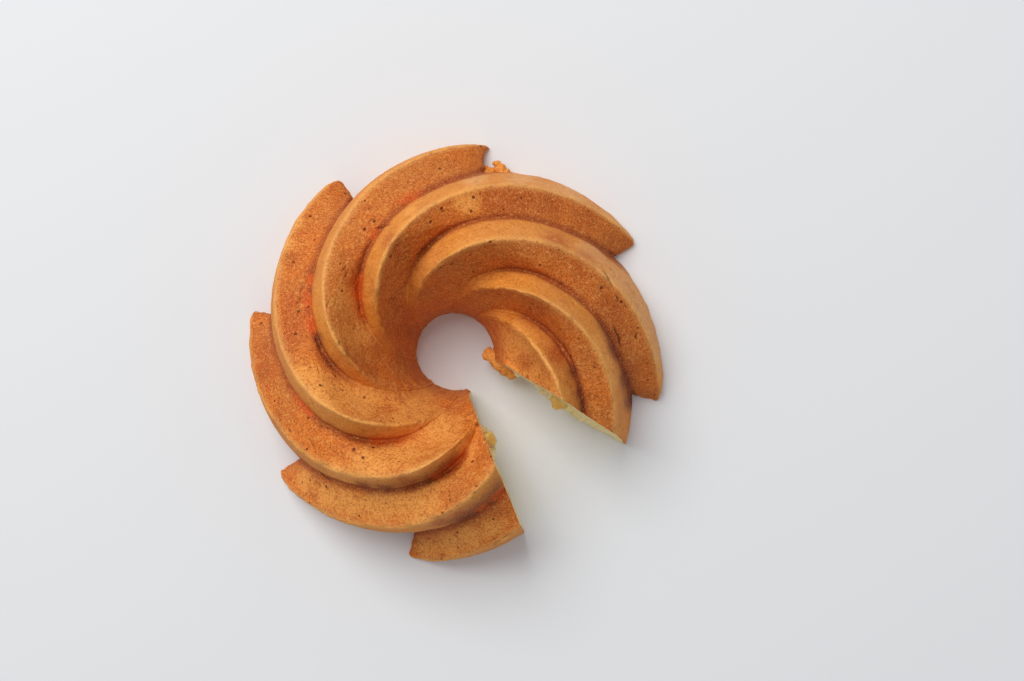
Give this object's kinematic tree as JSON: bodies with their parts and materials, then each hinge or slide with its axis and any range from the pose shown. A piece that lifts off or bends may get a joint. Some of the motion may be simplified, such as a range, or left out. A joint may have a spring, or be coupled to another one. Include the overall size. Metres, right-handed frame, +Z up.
{
  "type": "apple cake",
  "caption": "Golden-brown swirled apple ring cake with one wedge cut away, pale crumb and pieces of apple showing in the two cut faces, standing flat",
  "frame": {"origin": "centre of the footprint's bounding box, on the surface that the cake stands on", "axes": "+Z up along the ring's axis; +Y away from the viewer; the missing wedge opens towards +X and -Y"},
  "size_m": [0.2268, 0.2292, 0.0867],
  "materials": {
    "crust": "baked crust, golden brown, matte, finely pored, over pale yellow crumb at the cuts",
    "apple": "baked apple, translucent golden yellow, moist"
  },
  "bodies": {
    "root": {"cake": "crust", "apple_piece_1": "apple", "apple_piece_2": "apple", "apple_piece_3": "apple", "apple_piece_4": "apple", "apple_piece_5": "apple", "apple_piece_6": "apple"}
  },
  "joints": []
}
